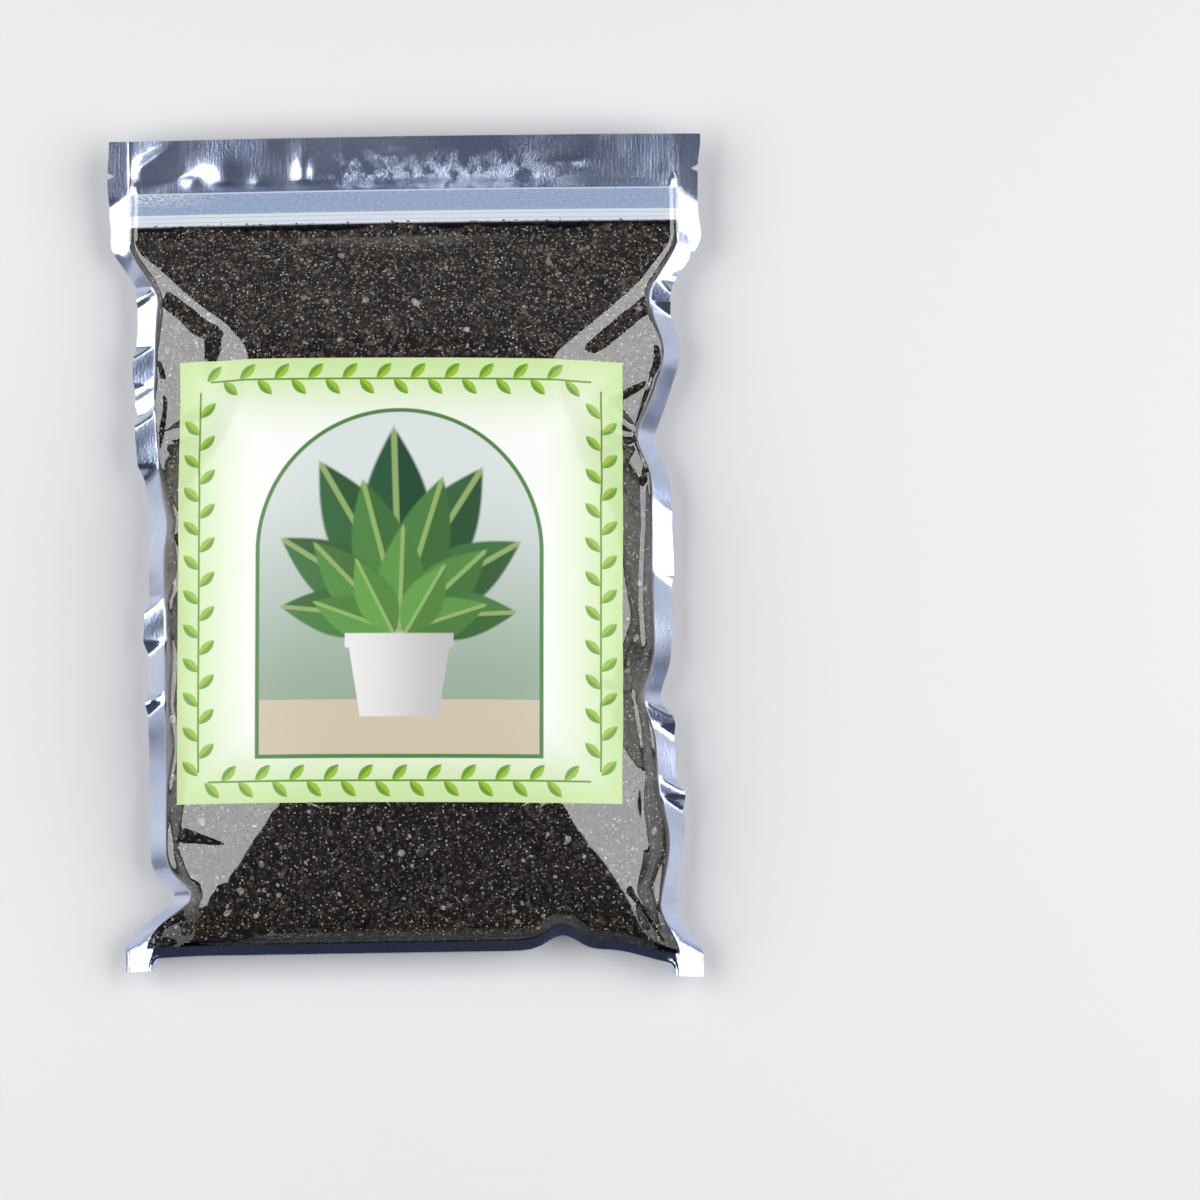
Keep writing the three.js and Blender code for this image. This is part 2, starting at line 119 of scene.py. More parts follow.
# Zip and label
ZIP_TAPE = 16.0
ZIP_LOCK = 6.5
ZIP_HALF = 1.2
ZIP_SEAT = 0.3
LABEL_LEFT = -77.5
LABEL_RIGHT = 72.5
LABEL_FOOT = 46.0
LABEL_TOP = 197.0
LABEL_SEAT = 0.3
LABEL_PAPER = 0.2
LABEL_BEND = 23.0
SKEW_SLOPE = math.tan(math.radians(0.9))

# The CAD's origin is under the middle of its box: this moves the pouch's lines there
SHIFT = np.array([2.0609, -133.4222, 0.0])


# Small helpers on whole arrays

def lerp(low, high, share):
    return low + (high - low) * share


def smoothstep(value, low, high):
    share = np.clip((value - low) / (high - low), 0.0, 1.0)
    return share * share * (3.0 - 2.0 * share)


def bell(distance, reach):
    return np.exp(-((distance / reach) ** 2))


def noise(x, y, size, seed):
    """Smooth random field from 0 to 1: a lattice of random values, blended between its nearest four."""
    count = 128
    lattice = np.random.default_rng(seed).random((count, count))
    column = np.floor(x / size).astype(int)
    row = np.floor(y / size).astype(int)
    across = smoothstep(x / size - column, 0.0, 1.0)
    up = smoothstep(y / size - row, 0.0, 1.0)

    def at(dx, dy):
        return lattice[(row + dy) % count, (column + dx) % count]

    return lerp(lerp(at(0, 0), at(1, 0), across), lerp(at(0, 1), at(1, 1), across), up)


# Outline of the pouch

def middle_line(y):
    return -SKEW_SLOPE * (y - (LABEL_FOOT + LABEL_TOP) / 2)


def side_seam(side, y):
    """Inner edge of a side seal: the cavity's half width, more at header and foot, less its gathers."""
    half = lerp(CAVITY_HALF, HEADER_HALF, smoothstep(y, CAVITY_LENGTH - SHOULDER, CAVITY_LENGTH))
    half = half + FOOT_FLARE * (1 - smoothstep(y, 0.0, FLARE_LENGTH))
    for share, depth, reach in GATHERS[side]:
        half = half - depth * bell(y - share * CAVITY_LENGTH, reach)
    return middle_line(y) + side * half


def ear_share(x):
    return smoothstep(np.abs(x), HEADER_HALF - EAR_WIDTH, HEADER_HALF)


def foot_seam(x):
    sag = np.where(x < 0, EAR_SAG[-1], EAR_SAG[1]) * ear_share(x)
    return SKEW_SLOPE * x + FOOT_TUCK * bell(x - FOOT_TUCK_X, FOOT_TUCK_REACH) - sag


def zip_line(x):
    return CAVITY_LENGTH + SKEW_SLOPE * x


def column_place(u, level):
    """x of column u at each level: straight along the label, a share of the width above and below it."""
    left = side_seam(-1, level)
    right = side_seam(1, level)
    middle = middle_line(level)
    away = np.abs(level - np.clip(level, LABEL_FOOT, LABEL_TOP))
    bend = smoothstep(away, 0.0, LABEL_BEND)

    def straight(place):
        spread = lerp(middle, left if place < 0 else right, abs(place) / CAVITY_HALF)
        return lerp(place, spread, bend)

    knots = [-CAVITY_HALF, LABEL_LEFT, 0.0, LABEL_RIGHT, CAVITY_HALF]
    lines = [left, straight(LABEL_LEFT), straight(0.0), straight(LABEL_RIGHT), right]
    segment = np.clip(np.searchsorted(knots, u, side="right") - 1, 0, 3)
    lines = np.stack(np.broadcast_arrays(*lines))
    low = np.take(knots, segment)
    share = (u - low) / (np.take(knots, segment + 1) - low)
    rows = np.arange(u.shape[0])[:, None]
    return lerp(lines[segment, rows, 0], lines[segment + 1, rows, 0], share)


def row_place(v, x):
    """y of row v at x: the foot seam, the label's straight rows, the zip line and its parallels."""
    foot = lerp(foot_seam(x), LABEL_FOOT, v / LABEL_FOOT)
    top = lerp(LABEL_TOP, zip_line(x), (v - LABEL_TOP) / (CAVITY_LENGTH - LABEL_TOP))
    above = zip_line(x) + v - CAVITY_LENGTH
    return np.select([v < LABEL_FOOT, v <= LABEL_TOP, v <= CAVITY_LENGTH], [foot, v, top], above)


def stretches(y, places):
    """Mask that is 1 along the given stretches of y, with edges under 2 mm wide."""
    mask = 0.0
    for low, high in places:
        begun = smoothstep(y, low - STRETCH_EDGE, low + STRETCH_EDGE)
        ended = smoothstep(y, high - STRETCH_EDGE, high + STRETCH_EDGE)
        mask = mask + begun * (1 - ended)
    return mask


def fin_droop(side, y):
    """Angle of a fin below level: steep along the body, level or half as steep along some stretches."""
    rough = noise(y, 0 * y + 50.0 * side, 5.0, 32)
    body = FIN_DROOP + FIN_WAVE * np.cos(2 * math.pi * y / SEAM_WAVELENGTH + side)
    body = body + 3.0 * (noise(y, 0 * y + 50.0 * side, 17.0, 31) - 0.5) + 2.0 * (rough - 0.5)
    body = lerp(body, 1.0 + 5.0 * rough, stretches(y, FIN_LEVEL[side]))
    body = lerp(body, FIN_BRIGHT_DROOP, stretches(y, FIN_BRIGHT[side]))
    zip_top = CAVITY_LENGTH + ZIP_TAPE
    upper = FIN_AT_ZIP[side] + 9.0 * (noise(y, 0 * y + 50.0 * side, 2.6, 33) - 0.5)
    upper = lerp(upper, HEADER_FIN_DROOP, smoothstep(y, zip_top - 1.5, zip_top + 1.0))
    header = lerp(body, upper, smoothstep(y, FIN_ZIP_START[side], CAVITY_LENGTH))
    return np.radians(lerp(header, EAR_DROOP, 1 - smoothstep(y, 0.0, EAR_LENGTH)))


def fin_curl(side, y):
    """How far a fin bends across its width, in radians: it wanders along the body, not at the header."""
    bend = 8.0 * (noise(y, 0 * y + 70.0 * side, 15.0, 34) - 0.5)
    bend = bend * (1 - smoothstep(y, CAVITY_LENGTH + ZIP_TAPE - 1.5, CAVITY_LENGTH + ZIP_TAPE + 1.0))
    return np.radians(bend)


def crease(x, y, start, end, rise, reach):
    """Sharp fold: its height falls off away from the line, at its own rate on the left and the right."""
    run = np.subtract(end, start)
    length = np.hypot(*run)
    along = ((x - start[0]) * run[0] + (y - start[1]) * run[1]) / length
    beside = ((x - start[0]) * run[1] - (y - start[1]) * run[0]) / length
    beyond = along - np.clip(along, 0.0, length)
    distance = np.sqrt(beside**2 + beyond**2 + 0.05) - math.sqrt(0.05)
    side_reach = np.where(beside < 0, reach[0], reach[1])
    fade = smoothstep(along, -4.0, 0.25 * length) * (1 - smoothstep(along, 0.6 * length, length + 4.0))
    return rise * fade * np.exp(-distance / side_reach)


def pleat(x, y, start, end, rise, widths, narrow=1.0):
    """Straight pleat with a sharp crest: its sides slope down evenly, over a set width left and right.

    At its start it has only a share of that rise and width, so that pleats can spread from a pinch.
    """
    run = np.subtract(end, start)
    length = np.hypot(*run)
    along = ((x - start[0]) * run[0] + (y - start[1]) * run[1]) / length
    beside = ((x - start[0]) * run[1] - (y - start[1]) * run[0]) / length
    spread = lerp(narrow, 1.0, np.clip(along / length, 0.0, 1.0))
    side_width = np.where(beside < 0, widths[0], widths[1]) * spread
    fade = smoothstep(along, -5.0, 2.0) * (1 - smoothstep(along, 0.6 * length, length + 3.0))
    return rise * spread * fade * rounded_gable(beside, side_width)


def rounded_gable(distance, width):
    """1 on a line, falling evenly to 0 at a set distance from it, with a rounded crest and foot."""
    even = 1 - (np.sqrt(distance**2 + 0.16) - 0.4) / width
    return 0.5 * (even + np.sqrt(even**2 + 0.01))


def ridge(x, y, line, rise, width):
    """Crumple along a bent line: its height falls evenly away from the nearest stretch of the line."""
    nearest = np.full_like(x, 1e6)
    for start, end in zip(line[:-1], line[1:]):
        run = np.subtract(end, start)
        share = np.clip(((x - start[0]) * run[0] + (y - start[1]) * run[1]) / (run @ run), 0.0, 1.0)
        distance = np.hypot(x - start[0] - share * run[0], y - start[1] - share * run[1])
        nearest = np.minimum(nearest, distance)
    return rise * rounded_gable(nearest, width)


# Dents of the header: place, height and reach
HEADER_DENTS = [
    ((-64.0, 263.0), 0.75, (5.0, 5.5)),
    ((-75.0, 260.0), 0.6, (2.6, 2.6)),
    ((-52.0, 259.5), 0.5, (2.4, 2.4)),
    ((-36.5, 264.0), 1.05, (3.0, 5.5)),
    ((-29.0, 262.0), 0.5, (1.8, 2.0)),
    ((-17.0, 263.0), 0.7, (3.6, 4.0)),
    ((-6.0, 262.0), 0.55, (3.4, 3.0)),
    ((-78.0, 262.0), -0.5, (8.0, 4.0)),
    ((6.0, 264.0), 0.75, (3.8, 4.5)),
    ((26.0, 264.0), 0.75, (3.8, 4.5)),
    ((41.0, 262.0), 0.4, (2.6, 2.6)),
    ((54.0, 267.5), 0.8, (5.0, 1.5)),
]
HEADER_CREASES = [
    ((-97.0, 262.0), (-80.0, 275.0), 0.9, (3.0, 5.0)),
    ((-93.0, 257.0), (-72.0, 266.0), -0.8, (4.0, 3.0)),
]


def header_relief(u, x, y):
    """Height of the header's dents and creases, its slow ripples, and the beads along the side seals."""
    relief = 0.5 * (noise(x, y, 16.0, 41) - 0.5) + 0.25 * (noise(x, y, 7.0, 42) - 0.5)
    for (place_x, place_y), rise, (reach_x, reach_y) in HEADER_DENTS:
        relief = relief + rise * bell(x - place_x, reach_x) * bell(y - place_y, reach_y)
    for fold in HEADER_CREASES:
        relief = relief + crease(x, y, *fold)
    bead = np.where(u < 0, 0.12, 0.03) * np.exp(-np.abs(np.abs(u) - CAVITY_HALF) / 0.3)
    relief = relief * smoothstep(CAVITY_HALF - np.abs(u), -1.0, 4.0)
    return relief * smoothstep(y, CAVITY_LENGTH + ZIP_TAPE - 2.0, CAVITY_LENGTH + ZIP_TAPE + 4.0) + bead


def meeting_sheet(u, v):
    """Sheet in which both webs meet, as points, with each point's fullness and place across the pouch.

    Inside the seams it lies at the seam's height, which waves along the sides and arches at the header.
    Beyond a side seam it is the fin, beyond the foot seam the foot seal, each tilted by its own angle.
    """
    inside_u = np.clip(u, -CAVITY_HALF, CAVITY_HALF)
    inside_v = np.maximum(v, 0.0)
    level = row_place(inside_v, 0.0 * v)
    x = column_place(inside_u, level)
    y = row_place(inside_v, x)
    middle = middle_line(level)
    half = np.where(x < middle, middle - side_seam(-1, level), side_seam(1, level) - middle)
    across = (x - middle) / half
    centre = CAVITY_LENGTH / 2
    end = np.where(y < centre, centre - foot_seam(x), zip_line(x) - centre)
    along = np.clip((y - centre) / end, -1.0, 1.0)
    end_power = np.where(along < 0, FOOT_POWER, TOP_POWER)
    end_wall = np.where(along < 0, FOOT_WALL, TOP_WALL)
    full = np.maximum(0.0, 1 - np.abs(across) ** SIDE_POWER) ** SIDE_WALL
    full = full * np.maximum(0.0, 1 - np.abs(along) ** end_power) ** end_wall
    top = smoothstep(level, CAVITY_LENGTH - ARCH_LENGTH, CAVITY_LENGTH)
    wave = SEAM_WAVE * across**5 * np.sin(2 * math.pi * level / SEAM_WAVELENGTH) * (1 - top)
    z = SEAM_HEIGHT + wave + top * (HEADER_ARCH * (1 - across**2) - HEADER_DROP)

    notch = np.abs(v - (CAVITY_LENGTH + ZIP_TAPE + NOTCH_ABOVE_ZIP)) / (NOTCH_WIDTH / 2)
    width = 1 - NOTCH_DEPTH / SIDE_SEAL * np.maximum(0.0, 1 - notch)
    for side in (-1, 1):
        reach = np.maximum(0.0, side * u - CAVITY_HALF) * width
        curl = fin_curl(side, level) / SIDE_SEAL
        sway = noise(level, 0 * level + 90.0 * side, 11.0, 35) - 0.5
        for share in (np.arange(FIN_STEPS) + 0.5) / FIN_STEPS:
            angle = fin_droop(side, level + FIN_SLANT * share * reach)
            angle = angle + curl * (share * reach - SIDE_SEAL / 2)
            x = x + side * np.cos(angle) * (1 + FIN_SWAY * sway) * reach / FIN_STEPS
            z = z - np.sin(angle) * reach / FIN_STEPS
    seal = np.maximum(0.0, -v)
    ear = smoothstep(np.abs(inside_u), CAVITY_HALF - EAR_TURN, CAVITY_HALF - 0.5)
    first = np.radians(lerp(FOOT_ROLL[0], EAR_TILT, ear))
    last = np.radians(lerp(FOOT_ROLL[1], EAR_TILT + 2.0, ear))
    flat = np.minimum(seal, FOOT_FLAT)
    under = seal - flat
    for side in (-1, 1):
        outside = side * x - EAR_FOLD[side]
        outside = 0.5 * (outside + np.sqrt(outside**2 + 0.5))
        z = z - math.tan(math.radians(EAR_FALL)) * outside * (1 - smoothstep(y, 1.0, 7.0))
    y = y - flat * np.cos(first) - under * np.cos(last)
    z = z - flat * np.sin(first) - under * np.sin(last)
    z = z + header_relief(u, x, y) * smoothstep(level, CAVITY_LENGTH - 4.0, CAVITY_LENGTH + 2.0)
    return np.stack([x, y, z], axis=-1), full, across


def normals_of(points):
    """Unit normals of a grid of points, from the differences between neighbours."""
    around = np.cross(np.gradient(points, axis=1), np.gradient(points, axis=0))
    return around / np.linalg.norm(around, axis=-1, keepdims=True)


# Flat facets that the taut front web makes between its folds. Each starts at a fold, given by its two ends
# on the web, and slopes down by so many degrees to the right of it, or to the left where that is negative.
FACETS = [
    ((-44.0, 48.0), (-69.0, 9.5), 9.0),
    ((-44.0, 48.0), (-69.0, 9.5), -3.0),
    ((52.0, 47.5), (77.2, 15.0), -10.0),
    ((52.0, 47.5), (77.2, 15.0), 3.0),
    ((69.0, 157.0), (69.0, 58.0), -29.0),
    ((69.0, 157.0), (69.0, 58.0), -15.0),
    ((-86.5, 197.0), (-76.5, 170.0), 44.0),
    ((-94.0, 237.0), (-58.0, 206.0), 15.0),
    ((-94.0, 237.0), (-58.0, 206.0), -13.0),
    ((-58.0, 206.0), (-54.5, 192.0), 20.0),
    ((-58.0, 206.0), (-54.5, 192.0), 8.0),
    ((92.0, 238.0), (52.0, 201.0), -18.0),
    ((92.0, 238.0), (52.0, 201.0), 13.0),
]
# Steeper facets between those and the side seams
WALLS = [
    ((-75.0, 54.0), (-77.5, 30.0), 46.0),
    ((-77.5, 31.0), (-69.0, 10.0), 50.0),
    ((-69.0, 10.0), (-90.0, 0.5), -34.0),
    ((80.2, 58.0), (80.0, 27.0), -46.0),
    ((80.0, 28.0), (77.2, 15.0), -46.0),
    ((80.4, 150.0), (76.5, 109.0), -46.0),
    ((75.6, 108.0), (72.0, 85.0), -46.0),
]
FACET_EDGE = 0.25
FACET_RELEASE = 0.015

# Pleats of the front web: start, end, rise, width to the left and to the right of the line
PLEATS = [
    ((-89.0, 219.5), (-62.0, 198.0), 2.2, (6.5, 15.0)),
    ((-70.0, 206.0), (-71.5, 184.0), 1.6, (6.0, 12.0)),
    ((86.0, 218.0), (56.0, 191.0), 2.4, (15.0, 6.0)),
    ((-86.0, 172.0), (-66.0, 178.0), 1.6, (5.0, 5.0), 0.2),
    ((-86.0, 172.0), (-66.0, 163.0), 1.4, (5.0, 5.0), 0.2),
    ((-85.0, 157.0), (-70.0, 150.0), 1.2, (4.0, 5.0), 0.2),
    ((88.0, 196.0), (62.0, 182.0), 2.6, (4.0, 9.0), 0.2),
    ((80.0, 172.0), (62.0, 186.0), 2.4, (5.0, 5.0), 0.15),
    ((80.0, 172.0), (60.0, 174.0), -2.0, (4.0, 5.0), 0.15),
    ((80.0, 172.0), (62.0, 160.0), 2.2, (5.0, 5.0), 0.15),
    ((85.0, 158.0), (66.0, 148.0), 1.4, (4.0, 5.0), 0.2),
    ((-61.0, 31.5), (-84.0, 33.5), -2.6, (18.0, 7.5), 0.1),
    ((86.5, 2.0), (76.5, 17.0), 2.2, (1.0, 5.0), 0.7),
    ((79.0, 84.0), (64.0, 90.0), 1.6, (5.0, 5.0), 0.2),
    ((79.0, 84.0), (64.0, 74.0), 1.4, (5.0, 5.0), 0.2),
]

# Swellings of the fill beside the pinches: place, rise and reach
SWELLINGS = [
    ((-70.0, 14.0), 2.4, (6.0, 5.0)),
]

# Crumples along the side seams: bent line, rise and width
RIDGES = [
    ([(-86.2, 197.0), (-82.0, 188.0)], 0.9, 1.6),
    ([(-86.2, 196.0), (-84.0, 184.0), (-85.0, 171.0)], 0.9, 1.3),
    ([(-84.8, 158.0), (-79.0, 142.0), (-79.7, 138.0), (-77.6, 126.5), (-81.7, 114.7)], 1.0, 1.6),
    ([(-81.7, 114.7), (-81.9, 107.3), (-79.7, 95.5), (-81.0, 80.0), (-79.0, 66.0), (-81.5, 52.0)],
     1.0, 1.5),
    ([(86.0, 193.0), (82.6, 183.0), (79.3, 174.0)], 1.1, 1.3),
    ([(83.6, 193.0), (80.6, 184.0), (78.2, 174.0)], 0.9, 1.1),
    ([(78.4, 170.5), (81.6, 163.5)], 1.0, 1.4),
    ([(81.0, 160.0), (80.8, 153.0), (80.9, 142.0), (80.3, 131.0), (79.9, 116.0), (81.0, 101.0)], 1.1, 1.5),
    ([(77.5, 84.0), (79.6, 72.0), (81.0, 60.0), (80.0, 46.0), (82.0, 32.0)], 1.0, 1.6),
]


def nearest_point(points, place):
    """The point of a grid that lies nearest to a place, seen from above."""
    flat = points.reshape(-1, 3)
    return flat[np.argmin((flat[:, 0] - place[0]) ** 2 + (flat[:, 1] - place[1]) ** 2)]


def facet_cut(points, facets):
    """How far the facets' planes cut below the web: a soft minimum of the planes, with rounded edges."""
    x, y, z = np.moveaxis(points, -1, 0)
    planes = []
    for start, end, slope in facets:
        low_x, low_y, low_z = nearest_point(points, start)
        high_x, high_y, high_z = nearest_point(points, end)
        run_x, run_y = high_x - low_x, high_y - low_y
        length = math.hypot(run_x, run_y)
        along = ((x - low_x) * run_x + (y - low_y) * run_y) / length
        beside = ((x - low_x) * run_y - (y - low_y) * run_x) / length
        beyond = along - np.clip(along, 0.0, length)
        plane = low_z + (high_z - low_z) * along / length - beside * math.tan(math.radians(slope))
        planes.append(plane + FACET_RELEASE * beyond**2)
    depths = np.stack([np.zeros_like(z)] + [np.clip(z - plane, -20.0, 20.0) for plane in planes])
    return FACET_EDGE * np.log(np.exp(depths / FACET_EDGE).sum(axis=0))


def film_lines():
    """Places of the film's grid lines: close together near the seams, wider apart under the label."""
    u = np.concatenate([
        np.linspace(-CAVITY_HALF - SIDE_SEAL, -CAVITY_HALF - 0.7, 8)[:-1],
        np.linspace(-CAVITY_HALF - 0.7, -CAVITY_HALF + 0.7, 5)[:-1],
        np.linspace(-CAVITY_HALF + 0.7, LABEL_LEFT, 12)[:-1],
        np.linspace(LABEL_LEFT, -40.0, 40)[:-1],
        np.linspace(-40.0, -26.0, 15)[:-1],
        np.linspace(-26.0, 40.0, 21)[:-1],
        np.linspace(40.0, LABEL_RIGHT, 34)[:-1],
        np.linspace(LABEL_RIGHT, CAVITY_HALF - 0.7, 20)[:-1],
        np.linspace(CAVITY_HALF - 0.7, CAVITY_HALF + 0.7, 5)[:-1],
        np.linspace(CAVITY_HALF + 0.7, CAVITY_HALF + SIDE_SEAL, 8),
    ])
    zip_top = CAVITY_LENGTH + ZIP_TAPE
    notch = zip_top + NOTCH_ABOVE_ZIP
    v = np.concatenate([
        np.linspace(-FOOT_SEAL, -FOOT_FLAT, 4)[:-1],
        np.linspace(-FOOT_FLAT, 0.0, 5)[:-1],
        np.linspace(0.0, LABEL_FOOT, 57)[:-1],
        np.linspace(LABEL_FOOT, LABEL_TOP, 121)[:-1],
        np.linspace(LABEL_TOP, CAVITY_LENGTH, 65)[:-1],
        np.linspace(CAVITY_LENGTH, zip_top, 21)[:-1],
        np.linspace(zip_top, notch - NOTCH_WIDTH / 2, 7)[:-1],
        np.linspace(notch - NOTCH_WIDTH / 2, notch + NOTCH_WIDTH / 2, 7)[:-1],
        np.linspace(notch + NOTCH_WIDTH / 2, zip_top + HEADER, 14),
    ])
    return np.meshgrid(u, v)


def web_distance(u, v):
    """Distance from the meeting sheet to a web: half the seal's gap, more where the zip lies between."""
    from_side = CAVITY_HALF - np.abs(u)
    beside = smoothstep(from_side, 0.0, 2.5)
    rows = smoothstep(v, CAVITY_LENGTH - 40.0, CAVITY_LENGTH - 3.0)
    rows = rows * (1 - smoothstep(v, CAVITY_LENGTH + ZIP_TAPE, CAVITY_LENGTH + ZIP_TAPE + 5.5))
    return lerp(SEAL_GAP / 2, ZIP_HALF + ZIP_SEAT, beside * rows)


def pouch_sheets(u, v):
    """Inner faces of the two webs: the front stands up over the fill, the back lies flat under it."""
    sheet, full, across = meeting_sheet(u, v)
    apart = web_distance(u, v)[..., None] * normals_of(sheet)
    front = sheet + apart
    back = sheet - apart
    front[..., 2] += BULGE * full
    cut = facet_cut(front, FACETS)
    cut = cut + facet_cut(front - cut[..., None] * [0.0, 0.0, 1.0], WALLS)
    x, y = sheet[..., 0], sheet[..., 1]
    folds = sum(pleat(x, y, *fold) for fold in PLEATS) + sum(ridge(x, y, *line) for line in RIDGES)
    for (place_x, place_y), rise, (reach_x, reach_y) in SWELLINGS:
        folds = folds + rise * bell(x - place_x, reach_x) * bell(y - place_y, reach_y)
    ripple = 0.18 * (noise(x, y, 12.0, 51) - 0.5) + 0.04 * (noise(x, y, 4.0, 52) - 0.5)
    front[..., 2] += (folds + ripple - cut) * np.minimum(1.0, 3 * full)
    slack = 1 - np.minimum(1.0, full / REST_SHARE)
    back[..., 2] = lerp(FILM, back[..., 2], slack**2)
    return front, back, folds


# Meshes

def closed_sheet(upper, lower):
    """Points and quads of the closed solid between two grids of points."""
    rows, columns = upper.shape[:2]
    points = np.concatenate([upper.reshape(-1, 3), lower.reshape(-1, 3)])
    number = np.arange(rows * columns).reshape(rows, columns)
    corners = [number[:-1, :-1], number[:-1, 1:], number[1:, 1:], number[1:, :-1]]
    face = np.stack([corner.ravel() for corner in corners], axis=1)
    under = rows * columns
    edge = np.concatenate([number[0, :-1], number[:-1, -1], number[-1, :0:-1], number[:0:-1, 0]])
    after = np.roll(edge, -1)
    quads = np.concatenate([
        face,
        face[:, [0, 3, 2, 1]] + under,
        np.stack([edge + under, after + under, after, edge], axis=1),
    ])
    return points, quads.tolist()


def add_piece(name, points, faces, node, material, uv=None, crisp=None):
    """Mesh object in the part's frame, in metres, that rides on the root and replaces a CAD node."""
    mesh = bpy.data.meshes.new(name)
    mesh.from_pydata(((points + SHIFT) * MILLIMETRE).tolist(), [], faces)
    mesh.polygons.foreach_set("use_smooth", np.ones(len(mesh.polygons), dtype=bool))
    if uv is not None:
        layer = mesh.uv_layers.new(name="lay")
        corners = np.empty(len(mesh.loops), dtype=np.int32)
        mesh.loops.foreach_get("vertex_index", corners)
        layer.data.foreach_set("uv", uv[corners].astype(np.float32).ravel())
    if crisp:
        mesh.set_sharp_from_angle(angle=math.radians(crisp))
    mesh.materials.append(material)
    piece = bpy.data.objects.new(name, mesh)
    bpy.context.scene.collection.objects.link(piece)
    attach(piece, "root")
    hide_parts(node)
    return piece


# Materials

class Shade:
    """A node socket that takes part in sums: each operator adds one Math node to the same tree."""

    def __init__(self, tree, socket=None):
        self.tree = tree
        self.socket = socket

    def node(self, kind, settings=None, sockets=None, output=0):
        """Adds a node of that type: sets its settings, then its sockets, and gives one of its outputs."""
        made = self.tree.nodes.new(kind)
        for name, value in (settings or {}).items():
            setattr(made, name, value)
        for name, value in (sockets or {}).items():
            if isinstance(value, Shade):
                self.tree.links.new(value.socket, made.inputs[name])
            else:
                made.inputs[name].default_value = value
        return Shade(self.tree, made.outputs[output])

    def math(self, operation, *values):
        return self.node("ShaderNodeMath", {"operation": operation}, dict(enumerate(values)))

    def __add__(self, other):
        return self.math("ADD", self, other)

    def __radd__(self, other):
        return self.math("ADD", other, self)

    def __sub__(self, other):
        return self.math("SUBTRACT", self, other)

    def __rsub__(self, other):
        return self.math("SUBTRACT", other, self)

    def __mul__(self, other):
        return self.math("MULTIPLY", self, other)

    def __rmul__(self, other):
        return self.math("MULTIPLY", other, self)

    def __truediv__(self, other):
        return self.math("DIVIDE", self, other)

    def __pow__(self, other):
        return self.math("POWER", self, other)

    def __abs__(self):
        return self.math("ABSOLUTE", self)

    def place(self):
        """Place on the object, in metres."""
        return self.node("ShaderNodeTexCoord", output="Object")

    def axis(self, place, name):
        """One of a place's coordinates: X, Y or Z."""
        return self.node("ShaderNodeSeparateXYZ", None, {0: place}, output=name)

    def clouds(self, place, scale, detail, output=0):
        """Noise texture, from about 0.2 to 0.8."""
        sockets = {"Vector": place, "Scale": scale, "Detail": detail}
        return self.node("ShaderNodeTexNoise", None, sockets, output)

    def larger(self, other):
        return self.math("MAXIMUM", self, other)

    def clamp(self):
        """Held between 0 and 1."""
        return self.node("ShaderNodeClamp", None, {"Value": self})

    def step(self, low, high):
        """Smooth mask that goes from 0 at low to 1 at high."""
        settings = {"interpolation_type": "SMOOTHSTEP"}
        sockets = {"Value": self, "From Min": low, "From Max": high}
        return self.node("ShaderNodeMapRange", settings, sockets)

    def mix(self, low, high):
        """Colour between two, at this share."""
        return self.node("ShaderNodeMix", {"data_type": "RGBA"}, {0: self, 6: low, 7: high}, output=2)


def new_material(name):
    """An empty material, and the tree to which its nodes are added."""
    material = bpy.data.materials.new(name)
    material.use_nodes = True
    material.node_tree.nodes.clear()
    return material, Shade(material.node_tree)


def finish_material(tree, shader):
    output = tree.tree.nodes.new("ShaderNodeOutputMaterial")
    tree.tree.links.new(shader.socket, output.inputs["Surface"])


def rgb(red, green, blue):
    return (red, green, blue, 1.0)


def film_material():
    """Clear film: it lets the fill be seen, reflects more at a slant, and is duller along the foot."""
    material, tree = new_material("clear film")
    facing = tree.node("ShaderNodeLayerWeight", None, {"Blend": 0.5}, output="Facing")
    place = tree.place()
    along = tree.axis(place, "Y")
    gloss = (0.06 + 0.94 * facing**5) * (0.25 + 0.75 * along.step(-0.130, -0.118))
    clear = tree.node("ShaderNodeBsdfTransparent", None, {"Color": rgb(0.97, 0.975, 0.98)})
    shine = tree.node("ShaderNodeBsdfGlossy", None, {"Color": rgb(1, 1, 1), "Roughness": 0.05})
    finish_material(tree, tree.node("ShaderNodeMixShader", None, {0: gloss, 1: clear, 2: shine}))
    return material


